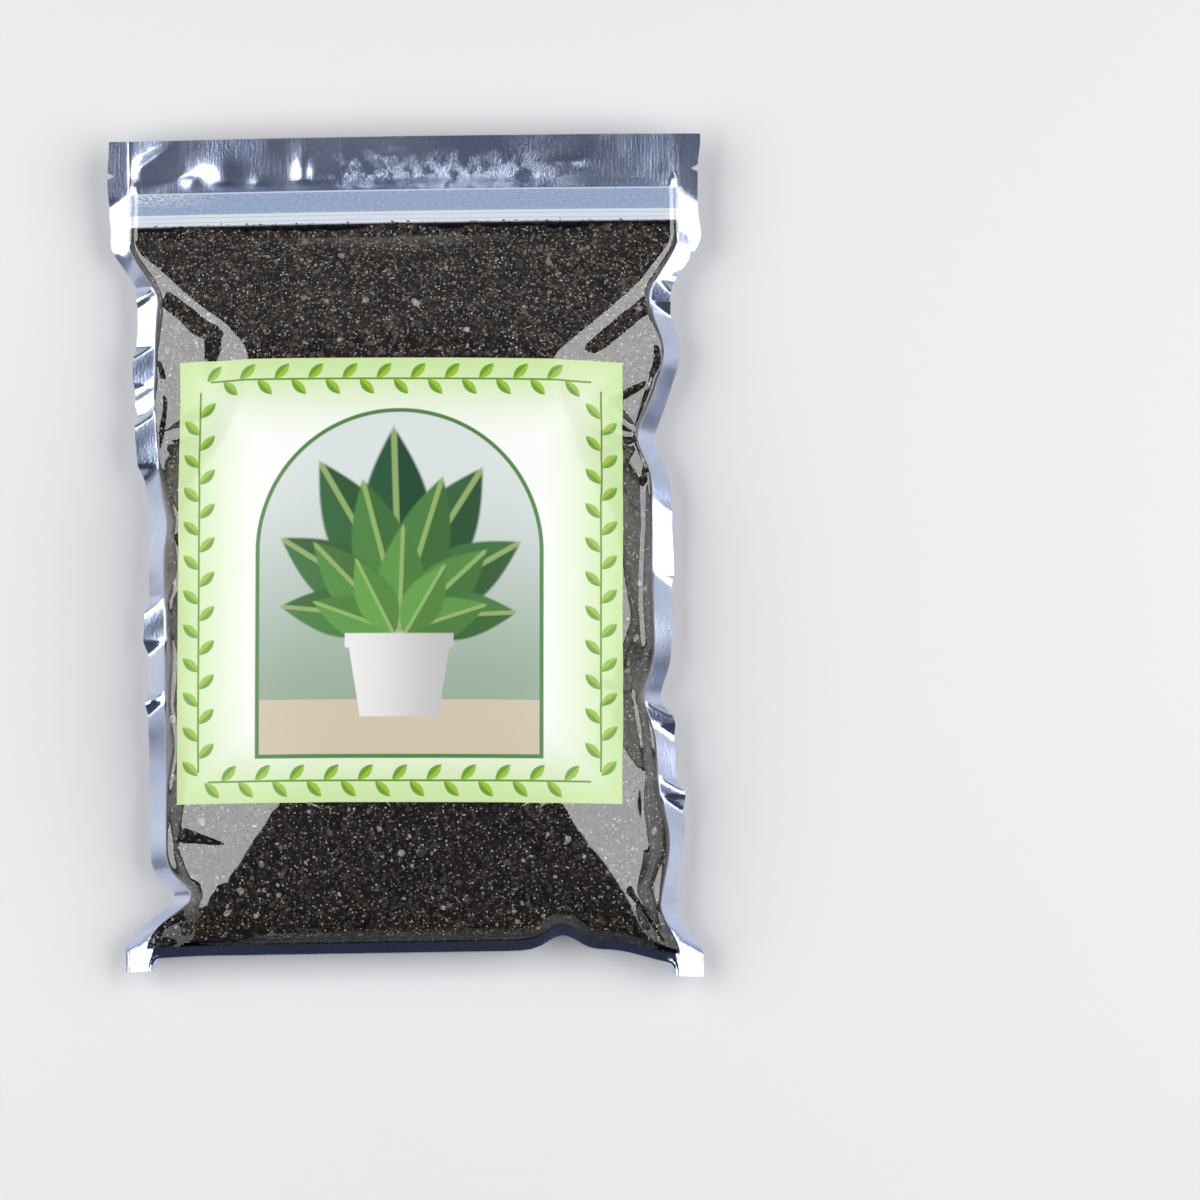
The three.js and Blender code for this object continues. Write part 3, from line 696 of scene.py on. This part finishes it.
def foil_material():
    """Metallised film: bluish silver, finely grained, with faint lines drawn along it.

    It is rougher where it is scuffed in the middle of the header, and painted paler there as a painted
    sheen; it is smoother along the foot.
    """
    material, tree = new_material("silver foil")
    place = tree.place()
    drawn = tree.node("ShaderNodeMapping", None, {"Vector": place, "Scale": (1.0, 0.08, 1.0)})
    lines = tree.clouds(drawn, 1300.0, 2.0)
    grain = tree.clouds(place, 1100.0, 2.0)
    cloud = tree.clouds(place, 45.0, 3.0)
    colour = cloud.step(0.35, 0.7).mix(rgb(0.57, 0.65, 0.88), rgb(0.68, 0.75, 0.94))
    across = tree.axis(place, "X")
    along = tree.axis(place, "Y")
    scuffs_and_sheen = along.step(0.118, 0.126) * (1 - along.step(0.128, 0.142))
    scuffs_and_sheen = scuffs_and_sheen * across.step(-0.031, -0.012) * (1 - across.step(0.025, 0.070))
    patches = tree.clouds(place, 170.0, 3.0)
    scuffs_and_sheen = scuffs_and_sheen * (0.15 + 0.85 * patches.step(0.38, 0.62))
    # Painted sheen: the scuffed patches are painted paler, besides their finer grain below.
    colour = scuffs_and_sheen.mix(colour, rgb(0.72, 0.81, 1.0))
    fine = tree.clouds(place, 2600.0, 1.0)
    height = grain * 0.6 + lines * 0.4 + 6 * scuffs_and_sheen * fine
    bump = tree.node("ShaderNodeBump", None, {"Strength": 0.2, "Distance": 0.0004, "Height": height})
    shader = tree.node("ShaderNodeBsdfPrincipled", None, {
        "Base Color": colour,
        "Metallic": 1.0,
        "Roughness": (0.215 + 0.09 * cloud) * (0.45 + 0.55 * along.step(-0.133, -0.120)),
        "Normal": bump,
    })
    finish_material(tree, shader)
    return material


def zip_material():
    """Zip plastic: clear below the lock, milky at the lock and in the crushed ends, frosted above it.

    Crumbs of soil cling to the lock's lower edge, and a painted highlight makes the frost whiter towards
    the left end.
    """
    material, tree = new_material("zip plastic")
    lay = tree.node("ShaderNodeUVMap", {"uv_map": "lay"})
    across = tree.axis(lay, "X")
    along = tree.axis(lay, "Y")
    drawn = tree.node("ShaderNodeCombineXYZ", None, {0: across * 160.0, 1: along * 1.6})
    streaks = tree.clouds(drawn, 1.0, 4.0)
    lock = 1 - abs(along).step(1.85, 2.1)
    lines = 1 - abs(abs(along) - 0.8).step(0.05, 0.2)
    weld = 1 - abs(along - 9.15).step(0.12, 0.3)
    ends = abs(across).step(0.438, 0.446)
    frost = along.step(1.8, 2.4) * (0.50 + 0.24 * streaks.step(0.3, 0.75))
    milk = (lock * (0.96 - 0.12 * lines)).larger(0.012 + frost)
    # Painted highlight: white streaks on the frost towards the left end, joined with the crushed ends and
    # the weld line in the white parts.
    glare = streaks.step(0.38, 0.62) * (1 - across.step(-0.38, -0.27)) * along.step(4.0, 6.5)
    white = ends.larger(weld.larger(glare))
    milk = milk.larger(white * 0.9)
    colour = lines.mix(rgb(0.90, 0.95, 1.0), rgb(0.72, 0.79, 0.92))
    colour = along.step(1.9, 2.6).mix(colour, rgb(0.54, 0.66, 0.88))
    place = tree.place()
    crumbs = tree.clouds(place, 700.0, 3.0)
    colour = (crumbs - 0.16 * (along + 2.0)).step(0.56, 0.60).mix(colour, rgb(0.012, 0.009, 0.007))
    crumple = tree.clouds(place, 420.0, 3.0)
    sockets = {"Strength": 0.6, "Distance": 0.0008, "Height": crumple * ends}
    shader = tree.node("ShaderNodeBsdfPrincipled", None, {
        "Base Color": white.mix(colour, rgb(0.86, 0.90, 0.97)),
        "Roughness": 0.22,
        "Alpha": milk,
        "Normal": tree.node("ShaderNodeBump", None, sockets),
    })
    finish_material(tree, shader)
    return material


def soil_material():
    """Potting mix: dark peat with uneven crumbs, paler near the zip, and specks of many tones, the palest
    of them partly pale grains and partly painted glints.
    """
    material, tree = new_material("potting mix")
    place = tree.place()
    stir = tree.clouds(place, 1500.0, 1.0, output="Color")
    push = {0: stir, 1: (0.0005, 0.0005, 0.0005), 2: place}
    stirred = tree.node("ShaderNodeVectorMath", {"operation": "MULTIPLY_ADD"}, push)

    def cells(scale, output):
        sockets = {"Vector": stirred, "Scale": scale, "Randomness": 1.0}
        return tree.node("ShaderNodeTexVoronoi", {"feature": "F1"}, sockets, output=output)

    def pick(scale, channel):
        split = {"mode": "RGB"}
        return tree.node("ShaderNodeSeparateColor", split, {0: cells(scale, "Color")}, output=channel)

    def specks(scale, size, rare):
        """Mask of one speck in each cell, of uneven size, few of them bright."""
        near = cells(scale, "Distance") / (0.6 + 0.8 * pick(scale, "Green"))
        return (1 - near.step(0.6 * size, size)) * pick(scale, "Red") ** rare

    cloud = tree.clouds(place, 160.0, 5.0)
    crumb = cells(520.0, "Distance")
    dry = tree.axis(place, "Y").step(0.03, 0.09)
    share = (0.12 * cloud.step(0.3, 0.75) + 0.88 * pick(900.0, "Blue") ** 6) * (0.5 + 0.5 * dry)
    colour = share.mix(rgb(0.0022, 0.0015, 0.0011), rgb(0.17, 0.142, 0.118))
    colour = (pick(520.0, "Red").step(0.65, 1.0) * 0.4).mix(colour, rgb(0.034, 0.018, 0.010))
    brown = tree.clouds(place, 70.0, 4.0)
    colour = (brown.step(0.55, 0.75) * 0.8).mix(colour, rgb(0.024, 0.0105, 0.0065))
    colour = specks(430.0, 0.34, 9.0).mix(colour, rgb(0.10, 0.046, 0.024))
    tan = pick(300.0, "Blue").mix(rgb(0.36, 0.30, 0.24), rgb(0.19, 0.145, 0.11))
    colour = specks(300.0, 0.34, 14.0).mix(colour, tan)
    # The two finest layers of pale specks: partly pale grains, partly painted glints of sand and mineral
    # grains.
    colour = specks(760.0, 0.33, 10.0 - 4.5 * dry).mix(colour, rgb(0.48, 0.42, 0.35))
    colour = specks(1500.0, 0.42, 8.0 - 3.5 * dry).mix(colour, rgb(0.90, 0.82, 0.71))
    sockets = {"Strength": 0.9, "Distance": 0.0006, "Height": cloud - crumb}
    shader = tree.node("ShaderNodeBsdfPrincipled", None, {
        "Base Color": colour,
        "Roughness": 0.9,
        "Specular IOR Level": 0.12,
        "Normal": tree.node("ShaderNodeBump", None, sockets),
    })
    finish_material(tree, shader)
    return material


def grain_material(name, dark, light):
    """Grains in the mix: warm and pitted, between a dark and a light tone that differs between grains; the
    pits are painted darker and their crests lighter, as painted shade and painted highlights.
    """
    material, tree = new_material(name)
    place = tree.place()
    cloud = tree.clouds(place, 330.0, 3.0)
    low = rgb(dark, dark * 0.82, dark * 0.66)
    pits_and_painted_shade = tree.clouds(place, 1100.0, 2.0)
    # Painted shade and highlights: the noise that raises the bumps also paints the low pits darker and the
    # crests lighter.
    share = 0.4 * cloud.step(0.3, 0.7) + 0.6 * pits_and_painted_shade.step(0.35, 0.65)
    colour = share.mix(low, rgb(light, light * 0.92, light * 0.82))
    bump = tree.node("ShaderNodeBump", None, {"Strength": 0.5, "Distance": 0.0003, "Height": pits_and_painted_shade})
    shader = tree.node("ShaderNodeBsdfPrincipled", None, {
        "Base Color": colour,
        "Roughness": 0.85,
        "Normal": bump,
    })
    finish_material(tree, shader)
    return material


def leaf_mask(across, up, root, angle, length, width):
    """Mask of one leaf that grows from its root, and the place across it from -1 to 1 of its half width.

    Its half width follows a parabola from root to tip, and is greatest nearer the root.
    """
    turned = math.radians(angle)
    right, forward = across - root[0], up - root[1]
    along = right * (math.sin(turned) / length) + forward * (math.cos(turned) / length)
    beside = right * (2 * math.cos(turned) / width) - forward * (2 * math.sin(turned) / width)
    along = along.clamp()
    half = along * (4 - 4 * along) * (1.25 - 0.55 * along)
    return (half - abs(beside)).step(0.0, 0.12), beside


# The plant on the label: root, angle from upright, length, width and tone of each leaf, from back to front
LABEL_LEAVES = [
    ((0.50, 0.45), -2.0, 0.40, 0.17, 0.0),
    ((0.50, 0.45), -30.0, 0.37, 0.16, 0.15),
    ((0.50, 0.45), 32.0, 0.36, 0.16, 0.1),
    ((0.49, 0.43), -58.0, 0.31, 0.145, 0.3),
    ((0.51, 0.43), 60.0, 0.31, 0.145, 0.25),
    ((0.49, 0.41), -84.0, 0.265, 0.12, 0.45),
    ((0.51, 0.41), 87.0, 0.26, 0.12, 0.4),
    ((0.50, 0.41), -15.0, 0.33, 0.14, 0.5),
    ((0.50, 0.41), 17.0, 0.34, 0.14, 0.45),
    ((0.49, 0.39), -44.0, 0.27, 0.125, 0.65),
    ((0.51, 0.39), 47.0, 0.26, 0.125, 0.6),
    ((0.49, 0.38), -70.0, 0.20, 0.10, 0.85),
    ((0.51, 0.38), 72.0, 0.20, 0.10, 0.8),
    ((0.50, 0.375), 2.0, 0.25, 0.115, 0.8),
    ((0.49, 0.37), -27.0, 0.20, 0.095, 1.0),
    ((0.51, 0.37), 30.0, 0.19, 0.095, 0.95),
]
LEAF_DARK = (0.012, 0.060, 0.024)
LEAF_LIGHT = (0.085, 0.230, 0.045)
# Garlands: distance of the stems from the label's middle, leaf pairs in its length, a leaf's length and
# half width
STEM_PLACE = 0.452
GARLAND_PAIRS = 13.0
GARLAND_LEAF = (0.050, 0.0115)
# Arch over the plant: height of its centre
ARCH_CENTRE = 0.56


def label_material():
    """Coated paper: pale with a mint border of leaf garlands, and a potted plant under an arch."""
    material, tree = new_material("printed paper")
    lay = tree.node("ShaderNodeUVMap", {"uv_map": "lay"})
    across = tree.axis(lay, "X")
    up = tree.axis(lay, "Y")
    from_middle, from_level = abs(across - 0.5), abs(up - 0.5)
    edge = from_middle.larger(from_level)
    colour = edge.step(0.30, 0.52).mix(rgb(0.88, 0.89, 0.86), rgb(0.56, 0.74, 0.33))

    def garland(colour, away, onward):
        """Alternate leaves on a stem at a set distance from the middle, repeated along it."""
        beside = away - STEM_PLACE
        count = onward * GARLAND_PAIRS + 0.5 * beside.step(-0.0005, 0.0005)
        cell = tree.math("FLOOR", count)
        shown = 1 - abs(cell - 6).step(5.2, 5.4)
        reach = abs(beside)
        forward = (count - cell - 0.3) / GARLAND_PAIRS
        up_leaf = (reach * 0.72 + forward * 0.69) / GARLAND_LEAF[0]
        across_leaf = (reach * 0.69 - forward * 0.72) / GARLAND_LEAF[1]
        leaf = (up_leaf * (4 - 4 * up_leaf) - abs(across_leaf)).step(0.0, 0.15) * shown
        green = across_leaf.step(-0.15, 0.15).mix(rgb(0.30, 0.50, 0.03), rgb(0.13, 0.32, 0.02))
        colour = leaf.mix(colour, green)
        stem = (1 - reach.step(0.0016, 0.0028)) * (1 - abs(onward - 0.5).step(0.428, 0.432))
        return stem.mix(colour, rgb(0.12, 0.30, 0.02))

    colour = garland(colour, from_middle, up)
    colour = garland(colour, from_level, across)

    rounded = tree.math("SQRT", from_middle * from_middle + (up - ARCH_CENTRE) * (up - ARCH_CENTRE))
    above = up.step(ARCH_CENTRE - 0.0005, ARCH_CENTRE + 0.0005)
    width = above * rounded + (1 - above) * from_middle
    frame_line = (1 - width.step(0.322, 0.325)) * up.step(0.096, 0.099)
    colour = frame_line.mix(colour, rgb(0.07, 0.22, 0.05))
    window = (1 - width.step(0.313, 0.316)) * up.step(0.105, 0.108)
    wall = up.step(0.2, 0.8).mix(rgb(0.30, 0.40, 0.30), rgb(0.66, 0.71, 0.70))
    scene = (1 - up.step(0.226, 0.230)).mix(wall, rgb(0.60, 0.52, 0.40))
    for root, angle, length, wide, tone in LABEL_LEAVES:
        leaf, beside = leaf_mask(across, up, root, angle, length, wide)
        green = [lerp(dark, light, tone) for dark, light in zip(LEAF_DARK, LEAF_LIGHT)]
        half = beside.step(-0.05, 0.05).mix(rgb(*[1.5 * part for part in green]), rgb(*green))
        rib = (1 - abs(beside).step(0.05, 0.11)) * 0.75
        scene = leaf.mix(scene, rib.mix(half, rgb(0.34, 0.48, 0.16)))
    pot_width = 0.088 + (up - 0.19) * 0.16
    pot = (1 - (from_middle - pot_width).step(-0.001, 0.001)) * up.step(0.188, 0.192)
    pot = pot * (1 - up.step(0.356, 0.360))
    rim = (1 - from_middle.step(0.121, 0.123)) * up.step(0.342, 0.346) * (1 - up.step(0.374, 0.378))
    shade = across.step(0.38, 0.62).mix(rgb(0.80, 0.79, 0.77), rgb(0.50, 0.50, 0.50))
    scene = pot.larger(rim).mix(scene, shade)
    colour = window.mix(colour, scene)
    fibre = tree.clouds(lay, 260.0, 3.0)
    shader = tree.node("ShaderNodeBsdfPrincipled", None, {
        "Base Color": colour,
        "Roughness": 0.30 + 0.10 * fibre,
    })
    finish_material(tree, shader)
    return material


# Build the pieces

u, v = film_lines()
front, back, folds = pouch_sheets(u, v)
front_normals = normals_of(front)
back_normals = normals_of(back)
lay = np.stack([u, v], axis=-1).reshape(-1, 2)
lay = np.concatenate([lay, lay]) * MILLIMETRE

clear_film = film_material()
points, quads = closed_sheet(front + FILM * front_normals, front)
film = add_piece("front_web", points, quads, "front_film", clear_film, lay, crisp=60)

silver_foil = foil_material()
points, quads = closed_sheet(back, back - FILM * back_normals)
foil = add_piece("back_web", points, quads, "back_foil", silver_foil, lay, crisp=60)

# Fill: follows the webs a little way inside, and is packed between the zip's tapes up to the lock
inside = np.abs(u[0]) <= CAVITY_HALF - 0.5
filled = (v[:, 0] >= 0.9) & (v[:, 0] <= CAVITY_LENGTH + 4.3)
part = np.ix_(filled, inside)
x, y = front[part][..., 0], front[part][..., 1]
crumbs = 0.5 * noise(x, y, 2.3, 5) + 0.5 * noise(x, y, 5.0, 6)
packed = smoothstep(v[part], CAVITY_LENGTH - 9.0, CAVITY_LENGTH - 2.0)
depth = lerp(0.3 + 0.7 * crumbs, 1.0 + 0.1 * crumbs, packed)
top = front[part] - depth[..., None] * front_normals[part]
top[..., 2] -= np.maximum(0.0, folds[part]) * 0.6
bottom = back[part] + lerp(0.3, 1.0, packed)[..., None] * back_normals[part]
wander = 0.4 * noise(x, 0 * y, 1.4, 9) + 0.6 * noise(x, 0 * y, 11.0, 10)
ragged = np.maximum(0.0, v[part] - CAVITY_LENGTH) * (wander - 0.85) * 0.9
top[..., 1] += ragged
bottom[..., 1] += ragged
points, quads = closed_sheet(top, bottom)
add_piece("mix", points, quads, "soil_fill", soil_material())


def scatter(count, seed, size, squash, sides=6, rings=4):
    """Many small lumps pressed against the front web: rings of points round each, with uneven radii.

    Each lump is an ellipsoid in its own frame, long across, squashed along the web's normal.
    """
    random = np.random.default_rng(seed)
    seen = np.abs(u) < CAVITY_HALF - 3.0
    seen &= (v > 4.0) & (v < CAVITY_LENGTH - 5.0)
    hidden = (u > LABEL_LEFT + 1.0) & (u < LABEL_RIGHT - 1.0)
    hidden &= (v > LABEL_FOOT + 1.0) & (v < LABEL_TOP - 1.0)
    room = np.linalg.norm(np.cross(np.gradient(front, axis=1), np.gradient(front, axis=0)), axis=-1)
    chance = (room * seen * ~hidden).ravel()
    chosen = random.choice(chance.size, size=count, replace=False, p=chance / chance.sum())
    normal = front_normals.reshape(-1, 3)[chosen]
    sideways = np.cross(normal, random.normal(size=(count, 3)))
    sideways /= np.linalg.norm(sideways, axis=1, keepdims=True)
    onward = np.cross(normal, sideways)
    radius = size[0] * (size[1] / size[0]) ** (random.random(count) ** 2.2)
    stretch = 1.0 + 0.5 * random.random(count)
    turn = np.arange(sides) * 2 * math.pi / sides
    rise = (np.arange(rings) + 0.5) / rings * math.pi
    ball = np.stack([
        np.sin(rise)[:, None] * np.cos(turn),
        np.sin(rise)[:, None] * np.sin(turn),
        np.cos(rise)[:, None] + 0 * turn,
    ], axis=-1).reshape(-1, 3)
    ball = ball * (0.8 + 0.4 * random.random((count, len(ball), 1)))
    ball = ball * radius[:, None, None]
    sunk = front.reshape(-1, 3)[chosen] - (0.1 + 1.2 * squash * radius)[:, None] * normal
    points = sunk[:, None, :] + ball[..., :1] * stretch[:, None, None] * sideways[:, None, :]
    points = points + ball[..., 1:2] * onward[:, None, :] + squash * ball[..., 2:] * normal[:, None, :]
    number = np.arange(rings * sides).reshape(rings, sides)
    after = np.roll(number, -1, axis=1)
    quads = np.stack([number[:-1], number[1:], after[1:], after[:-1]], axis=-1).reshape(-1, 4)
    start = (np.arange(count) * rings * sides)[:, None, None]
    walls = (quads[None] + start).reshape(-1, 4).tolist()
    caps = (np.stack([number[0], number[-1, ::-1]])[None] + start).reshape(-1, sides).tolist()
    return points.reshape(-1, 3), walls + caps


points, faces = scatter(170, 11, (0.35, 1.8), 0.5)
add_piece("perlite", points, faces, "soil_fill", grain_material("perlite", 0.10, 0.66))
points, faces = scatter(200, 12, (0.4, 1.3), 0.35)
add_piece("bark", points, faces, "soil_fill", grain_material("bark", 0.02, 0.07))

# Label
labelled = (u[0] >= LABEL_LEFT - 1e-6) & (u[0] <= LABEL_RIGHT + 1e-6)
label_rows = (v[:, 0] >= LABEL_FOOT - 1e-6) & (v[:, 0] <= LABEL_TOP + 1e-6)
part = np.ix_(label_rows, labelled)
under = front[part] + (FILM + LABEL_SEAT) * front_normals[part]
over = under + LABEL_PAPER * front_normals[part]
points, quads = closed_sheet(over, under)
label_lay = np.stack([
    (u[part] - LABEL_LEFT) / (LABEL_RIGHT - LABEL_LEFT),
    (v[part] - LABEL_FOOT) / (LABEL_TOP - LABEL_FOOT),
], axis=-1).reshape(-1, 2)
label_lay = np.concatenate([label_lay, label_lay])
paper = label_material()
label = add_piece("paper_label", points, quads, "label", paper, label_lay, crisp=60)


def track(section, lean):
    """Zip section carried across the pouch along the lock line, pressed flat in the side seals."""
    path_u = np.linspace(-CAVITY_HALF - SIDE_SEAL + 1.0, CAVITY_HALF + SIDE_SEAL - 1.0, 130)[:, None]
    path_u = path_u + np.zeros((1, 3))
    lock = CAVITY_LENGTH + ZIP_LOCK
    path_v = np.array([[lock - 1.0, lock, lock + 1.0]]) + np.zeros_like(path_u)
    line, _, _ = meeting_sheet(path_u.T, path_v.T)
    up = normals_of(line)[1]
    line = line[1]
    flat = 1 - smoothstep(CAVITY_HALF - np.abs(path_u[:, 0]), 0.0, 2.5)
    section = np.array(section)
    rise = lerp(section[None, :, 1], 0.07 * lean + 0.03 * section[None, :, 1], flat[:, None])
    points = line[:, None, :] + rise[..., None] * up[:, None, :]
    points[..., 1] += section[None, :, 0]
    count = len(section)
    number = np.arange(points.shape[0] * count).reshape(-1, count)
    after = np.roll(number, -1, axis=1)
    quads = np.stack([number[:-1], after[:-1], after[1:], number[1:]], axis=-1).reshape(-1, 4)
    faces = quads.tolist() + [number[0, ::-1].tolist(), number[-1].tolist()]
    lay = np.stack(np.broadcast_arrays(path_u[:, :1] / (2 * HEADER_HALF), section[None, :, 0]), axis=-1)
    return points.reshape(-1, 3), faces, lay.reshape(-1, 2)


# Sections of the zip's tracks, along the pouch and up from the lock line
FRONT_SECTION = [
    (-6.5, 0.8), (-1.85, 0.8), (-1.85, -0.5), (-0.65, -0.5), (-0.65, -0.2), (-1.25, -0.2), (-1.25, 0.8),
    (1.25, 0.8), (1.25, -0.2), (0.65, -0.2), (0.65, -0.5), (1.85, -0.5), (1.85, 0.8), (9.5, 0.8),
    (9.5, 1.2), (-6.5, 1.2),
]
BACK_SECTION = [
    (-6.5, -1.2), (9.5, -1.2), (9.5, -0.8), (0.35, -0.8), (0.35, 0.1), (0.95, 0.1), (0.95, 0.5),
    (-0.95, 0.5), (-0.95, 0.1), (-0.35, 0.1), (-0.35, -0.8), (-6.5, -0.8),
]
zip_plastic = zip_material()
for name, node, section, lean in (
    ("zip_lips", "zip_front_track", FRONT_SECTION, 1.0),
    ("zip_rib", "zip_back_track", BACK_SECTION, -1.0),
):
    points, faces, track_lay = track(section, lean)
    add_piece(name, points, faces, node, zip_plastic, track_lay, crisp=30)

# Floor
FLOOR_HALF = 4.0
square = [(-1, -1, 0), (1, -1, 0), (1, 1, 0), (-1, 1, 0)]
floor_mesh = bpy.data.meshes.new("floor")
floor_mesh.from_pydata((FLOOR_HALF * np.array(square)).tolist(), [], [(0, 1, 2, 3)])
pale_floor, tree = new_material("pale floor")
sockets = {"Base Color": rgb(0.77, 0.77, 0.77), "Roughness": 0.7}
finish_material(tree, tree.node("ShaderNodeBsdfPrincipled", None, sockets))
floor_mesh.materials.append(pale_floor)
floor = bpy.data.objects.new("floor", floor_mesh)
bpy.context.scene.collection.objects.link(floor)


# Lights

def softbox(name, azimuth, zenith, distance, size, radiance):
    """Rectangular light that faces the pouch; its power follows from its radiance and area."""
    lamp = bpy.data.lights.new(name, "AREA")
    lamp.shape = "RECTANGLE"
    lamp.size, lamp.size_y = size
    lamp.energy = radiance * math.pi * size[0] * size[1]
    holder = bpy.data.objects.new(name, lamp)
    flat = math.sin(zenith)
    holder.location = (
        distance * flat * math.cos(azimuth),
        distance * flat * math.sin(azimuth),
        distance * math.cos(zenith),
    )
    holder.rotation_euler = (0.0, zenith, azimuth)
    bpy.context.scene.collection.objects.link(holder)


for name, azimuth in (("left_softbox", math.pi), ("right_softbox", 0.0)):
    softbox(name, azimuth, zenith=math.radians(45), distance=1.3, size=(1.22, 1.4), radiance=3.0)
softbox("back_card", math.pi / 2, zenith=math.radians(55), distance=1.7, size=(1.0, 1.6), radiance=0.06)

# Studio round them: dark overhead and towards the front, bright low down at the sides and behind
world = bpy.data.worlds.new("studio")
world.use_nodes = True
world.node_tree.nodes.clear()
sky = Shade(world.node_tree)
direction = sky.node("ShaderNodeTexCoord", output="Generated")
height = sky.axis(direction, "Z")
onward = sky.axis(direction, "Y")
horizon = onward.step(-0.30, 0.05).mix(rgb(0.030, 0.030, 0.040), rgb(0.88, 0.85, 0.79))
studio = (1 - height.step(0.05, 0.4)).mix(rgb(0.036, 0.039, 0.056), horizon)
glow = sky.node("ShaderNodeBackground", None, {"Color": studio})
sky_out = world.node_tree.nodes.new("ShaderNodeOutputWorld")
world.node_tree.links.new(glow.socket, sky_out.inputs["Surface"])
bpy.context.scene.world = world
bpy.context.scene.view_settings.view_transform = "Standard"

# Camera, at the photo's angle
AIM = np.array([0.0672, -0.0171, 0.02])
ELEVATION = math.radians(84)
DISTANCE = 2.5
PICTURE_WIDTH = 0.408
SENSOR = 36.0
lens = bpy.data.cameras.new("camera")
lens.sensor_width = SENSOR
lens.lens = SENSOR * DISTANCE / PICTURE_WIDTH
camera = bpy.data.objects.new("camera", lens)
camera.location = AIM + DISTANCE * np.array([0.0, -math.cos(ELEVATION), math.sin(ELEVATION)])
camera.rotation_euler = (math.pi / 2 - ELEVATION, 0.0, 0.0)
bpy.context.scene.collection.objects.link(camera)
bpy.context.scene.camera = camera
